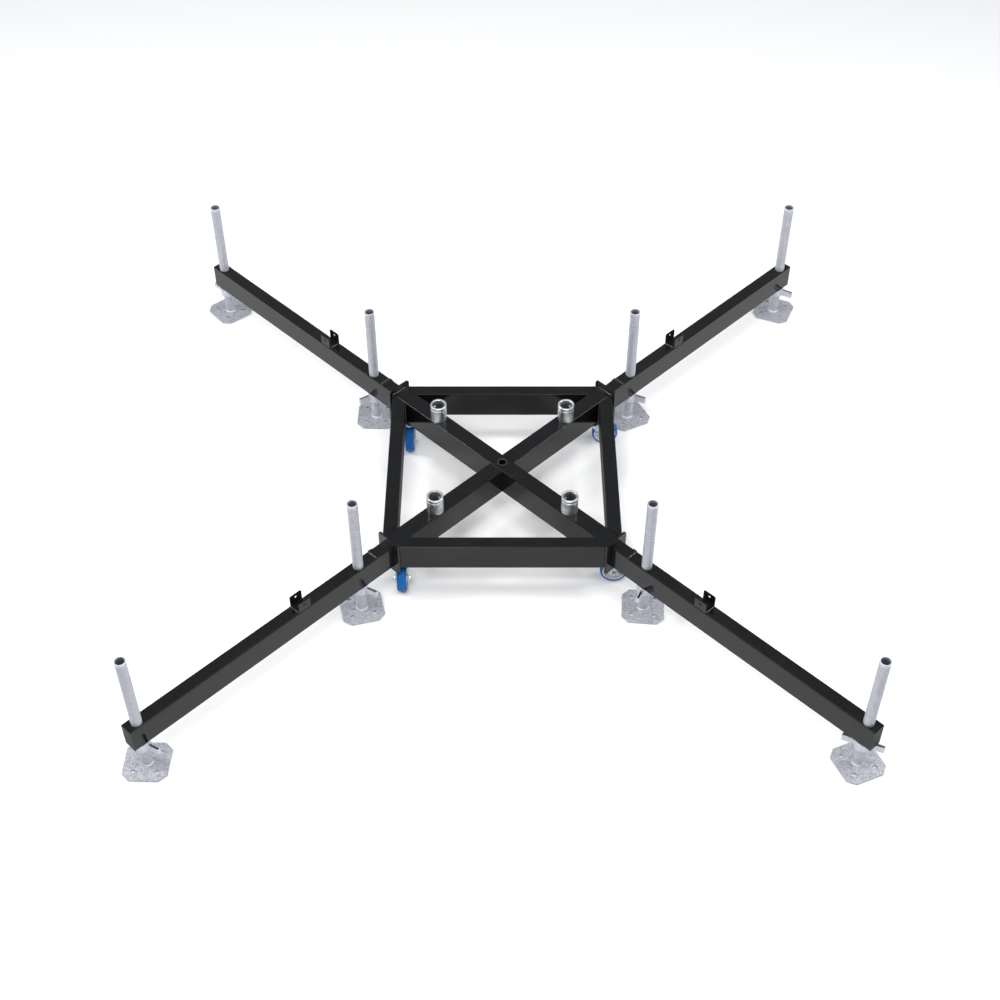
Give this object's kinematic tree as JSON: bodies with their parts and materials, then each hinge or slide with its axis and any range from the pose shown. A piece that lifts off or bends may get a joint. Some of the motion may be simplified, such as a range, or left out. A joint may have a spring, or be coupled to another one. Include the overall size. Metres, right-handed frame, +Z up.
{
  "type": "truss tower base with outriggers",
  "caption": "Wheeled square steel base for a truss tower, with conical truss couplers, pull-out diagonal outrigger arms and screw jacks.",
  "frame": {"origin": "on the floor, under the middle of the square frame", "axes": "+Z up; +X and +Y along the frame rails, so the arms lie on the diagonals; -Y is the front"},
  "size_m": [2.5091, 2.5088, 0.536],
  "materials": {
    "black_powder_coat": "glossy black powder coat on welded steel sections",
    "galvanised_steel": "hot-dip galvanised, matt, with a fine spangle",
    "coupler_metal": "turned bright metal with fine tool rings",
    "zinc_plated_steel": "bright zinc plate on pressed steel",
    "hub_plastic": "pale grey moulded nylon",
    "tyre_rubber": "blue elastic rubber tread"
  },
  "bodies": {
    "base_frame": {"rail_front": "black_powder_coat", "rail_right": "black_powder_coat", "rail_back": "black_powder_coat", "rail_left": "black_powder_coat", "cross_bar": "black_powder_coat", "half_bar_front": "black_powder_coat", "half_bar_back": "black_powder_coat", "centre_bush": "black_powder_coat", "flange_front_left": "black_powder_coat", "coupler_front_left": "coupler_metal", "castor_plate_front_left": "zinc_plated_steel", "flange_front_right": "black_powder_coat", "coupler_front_right": "coupler_metal", "castor_plate_front_right": "zinc_plated_steel", "flange_back_right": "black_powder_coat", "coupler_back_right": "coupler_metal", "castor_plate_back_right": "zinc_plated_steel", "flange_back_left": "black_powder_coat", "coupler_back_left": "coupler_metal", "castor_plate_back_left": "zinc_plated_steel"},
    "outrigger_front_left": {"arm_front_left": "black_powder_coat", "brace_bracket_front_left": "black_powder_coat"},
    "nut_inner_front_left": {"jack_nut_inner_front_left": "galvanised_steel"},
    "spindle_inner_front_left": {"jack_inner_front_left": "galvanised_steel"},
    "nut_outer_front_left": {"jack_nut_outer_front_left": "galvanised_steel"},
    "spindle_outer_front_left": {"jack_outer_front_left": "galvanised_steel"},
    "castor_front_left": {"castor_fork_front_left": "zinc_plated_steel", "castor_axle_front_left": "zinc_plated_steel"},
    "wheel_front_left": {"wheel_hub_front_left": "hub_plastic", "tyre_front_left": "tyre_rubber"},
    "outrigger_front_right": {"arm_front_right": "black_powder_coat", "brace_bracket_front_right": "black_powder_coat"},
    "nut_inner_front_right": {"jack_nut_inner_front_right": "galvanised_steel"},
    "spindle_inner_front_right": {"jack_inner_front_right": "galvanised_steel"},
    "nut_outer_front_right": {"jack_nut_outer_front_right": "galvanised_steel"},
    "spindle_outer_front_right": {"jack_outer_front_right": "galvanised_steel"},
    "castor_front_right": {"castor_fork_front_right": "zinc_plated_steel", "castor_axle_front_right": "zinc_plated_steel"},
    "wheel_front_right": {"wheel_hub_front_right": "hub_plastic", "tyre_front_right": "tyre_rubber"},
    "outrigger_back_right": {"arm_back_right": "black_powder_coat", "brace_bracket_back_right": "black_powder_coat"},
    "nut_inner_back_right": {"jack_nut_inner_back_right": "galvanised_steel"},
    "spindle_inner_back_right": {"jack_inner_back_right": "galvanised_steel"},
    "nut_outer_back_right": {"jack_nut_outer_back_right": "galvanised_steel"},
    "spindle_outer_back_right": {"jack_outer_back_right": "galvanised_steel"},
    "castor_back_right": {"castor_fork_back_right": "zinc_plated_steel", "castor_axle_back_right": "zinc_plated_steel"},
    "wheel_back_right": {"wheel_hub_back_right": "hub_plastic", "tyre_back_right": "tyre_rubber"},
    "outrigger_back_left": {"arm_back_left": "black_powder_coat", "brace_bracket_back_left": "black_powder_coat"},
    "nut_inner_back_left": {"jack_nut_inner_back_left": "galvanised_steel"},
    "spindle_inner_back_left": {"jack_inner_back_left": "galvanised_steel"},
    "nut_outer_back_left": {"jack_nut_outer_back_left": "galvanised_steel"},
    "spindle_outer_back_left": {"jack_outer_back_left": "galvanised_steel"},
    "castor_back_left": {"castor_fork_back_left": "zinc_plated_steel", "castor_axle_back_left": "zinc_plated_steel"},
    "wheel_back_left": {"wheel_hub_back_left": "hub_plastic", "tyre_back_left": "tyre_rubber"}
  },
  "joints": [
    {"name": "arm_slide_front_left", "type": "slide", "parent": "base_frame", "child": "outrigger_front_left", "axis": [-0.7071, -0.7071, 0], "range_m": [0, 0.2]},
    {"name": "nut_turn_inner_front_left", "type": "hinge", "parent": "outrigger_front_left", "child": "nut_inner_front_left", "pos_m": [-0.50134, -0.50134, 0.112], "axis": [0, 0, 1], "range_deg": [-3375, 10800]},
    {"name": "jack_travel_inner_front_left", "type": "slide", "parent": "outrigger_front_left", "child": "spindle_inner_front_left", "axis": [0, 0, -1], "range_m": [-0.0755, 0.2405]},
    {"name": "nut_turn_outer_front_left", "type": "hinge", "parent": "outrigger_front_left", "child": "nut_outer_front_left", "pos_m": [-1.16531, -1.16531, 0.112], "axis": [0, 0, 1], "range_deg": [-3375, 10800]},
    {"name": "jack_travel_outer_front_left", "type": "slide", "parent": "outrigger_front_left", "child": "spindle_outer_front_left", "axis": [0, 0, -1], "range_m": [-0.0755, 0.2405]},
    {"name": "castor_swivel_front_left", "type": "hinge", "parent": "base_frame", "child": "castor_front_left", "pos_m": [-0.36, -0.36, 0.11], "axis": [0, 0, 1], "continuous": true},
    {"name": "wheel_spin_front_left", "type": "hinge", "parent": "castor_front_left", "child": "wheel_front_left", "pos_m": [-0.36, -0.402, 0.05], "axis": [1, 0, 0], "continuous": true},
    {"name": "arm_slide_front_right", "type": "slide", "parent": "base_frame", "child": "outrigger_front_right", "axis": [0.7071, -0.7071, 0], "range_m": [0, 0.2]},
    {"name": "nut_turn_inner_front_right", "type": "hinge", "parent": "outrigger_front_right", "child": "nut_inner_front_right", "pos_m": [0.50134, -0.50134, 0.112], "axis": [0, 0, 1], "range_deg": [-3375, 10800]},
    {"name": "jack_travel_inner_front_right", "type": "slide", "parent": "outrigger_front_right", "child": "spindle_inner_front_right", "axis": [0, 0, -1], "range_m": [-0.0755, 0.2405]},
    {"name": "nut_turn_outer_front_right", "type": "hinge", "parent": "outrigger_front_right", "child": "nut_outer_front_right", "pos_m": [1.16531, -1.16531, 0.112], "axis": [0, 0, 1], "range_deg": [-3375, 10800]},
    {"name": "jack_travel_outer_front_right", "type": "slide", "parent": "outrigger_front_right", "child": "spindle_outer_front_right", "axis": [0, 0, -1], "range_m": [-0.0755, 0.2405]},
    {"name": "castor_swivel_front_right", "type": "hinge", "parent": "base_frame", "child": "castor_front_right", "pos_m": [0.36, -0.36, 0.11], "axis": [0, 0, 1], "continuous": true},
    {"name": "wheel_spin_front_right", "type": "hinge", "parent": "castor_front_right", "child": "wheel_front_right", "pos_m": [0.402, -0.36, 0.05], "axis": [0, 1, 0], "continuous": true},
    {"name": "arm_slide_back_right", "type": "slide", "parent": "base_frame", "child": "outrigger_back_right", "axis": [0.7071, 0.7071, 0], "range_m": [0, 0.2]},
    {"name": "nut_turn_inner_back_right", "type": "hinge", "parent": "outrigger_back_right", "child": "nut_inner_back_right", "pos_m": [0.50134, 0.50134, 0.112], "axis": [0, 0, 1], "range_deg": [-3375, 10800]},
    {"name": "jack_travel_inner_back_right", "type": "slide", "parent": "outrigger_back_right", "child": "spindle_inner_back_right", "axis": [0, 0, -1], "range_m": [-0.0755, 0.2405]},
    {"name": "nut_turn_outer_back_right", "type": "hinge", "parent": "outrigger_back_right", "child": "nut_outer_back_right", "pos_m": [1.16531, 1.16531, 0.112], "axis": [0, 0, 1], "range_deg": [-3375, 10800]},
    {"name": "jack_travel_outer_back_right", "type": "slide", "parent": "outrigger_back_right", "child": "spindle_outer_back_right", "axis": [0, 0, -1], "range_m": [-0.0755, 0.2405]},
    {"name": "castor_swivel_back_right", "type": "hinge", "parent": "base_frame", "child": "castor_back_right", "pos_m": [0.36, 0.36, 0.11], "axis": [0, 0, 1], "continuous": true},
    {"name": "wheel_spin_back_right", "type": "hinge", "parent": "castor_back_right", "child": "wheel_back_right", "pos_m": [0.402, 0.36, 0.05], "axis": [0, 1, 0], "continuous": true},
    {"name": "arm_slide_back_left", "type": "slide", "parent": "base_frame", "child": "outrigger_back_left", "axis": [-0.7071, 0.7071, 0], "range_m": [0, 0.2]},
    {"name": "nut_turn_inner_back_left", "type": "hinge", "parent": "outrigger_back_left", "child": "nut_inner_back_left", "pos_m": [-0.50134, 0.50134, 0.112], "axis": [0, 0, 1], "range_deg": [-3375, 10800]},
    {"name": "jack_travel_inner_back_left", "type": "slide", "parent": "outrigger_back_left", "child": "spindle_inner_back_left", "axis": [0, 0, -1], "range_m": [-0.0755, 0.2405]},
    {"name": "nut_turn_outer_back_left", "type": "hinge", "parent": "outrigger_back_left", "child": "nut_outer_back_left", "pos_m": [-1.16531, 1.16531, 0.112], "axis": [0, 0, 1], "range_deg": [-3375, 10800]},
    {"name": "jack_travel_outer_back_left", "type": "slide", "parent": "outrigger_back_left", "child": "spindle_outer_back_left", "axis": [0, 0, -1], "range_m": [-0.0755, 0.2405]},
    {"name": "castor_swivel_back_left", "type": "hinge", "parent": "base_frame", "child": "castor_back_left", "pos_m": [-0.36, 0.36, 0.11], "axis": [0, 0, 1], "continuous": true},
    {"name": "wheel_spin_back_left", "type": "hinge", "parent": "castor_back_left", "child": "wheel_back_left", "pos_m": [-0.36, 0.318, 0.05], "axis": [1, 0, 0], "continuous": true}
  ],
  "couplings": [
    {"joint": "jack_travel_inner_front_left", "follows": "nut_turn_inner_front_left", "m_per_rad": 0.0012732},
    {"joint": "jack_travel_outer_front_left", "follows": "nut_turn_outer_front_left", "m_per_rad": 0.0012732},
    {"joint": "jack_travel_inner_front_right", "follows": "nut_turn_inner_front_right", "m_per_rad": 0.0012732},
    {"joint": "jack_travel_outer_front_right", "follows": "nut_turn_outer_front_right", "m_per_rad": 0.0012732},
    {"joint": "jack_travel_inner_back_right", "follows": "nut_turn_inner_back_right", "m_per_rad": 0.0012732},
    {"joint": "jack_travel_outer_back_right", "follows": "nut_turn_outer_back_right", "m_per_rad": 0.0012732},
    {"joint": "jack_travel_inner_back_left", "follows": "nut_turn_inner_back_left", "m_per_rad": 0.0012732},
    {"joint": "jack_travel_outer_back_left", "follows": "nut_turn_outer_back_left", "m_per_rad": 0.0012732}
  ]
}
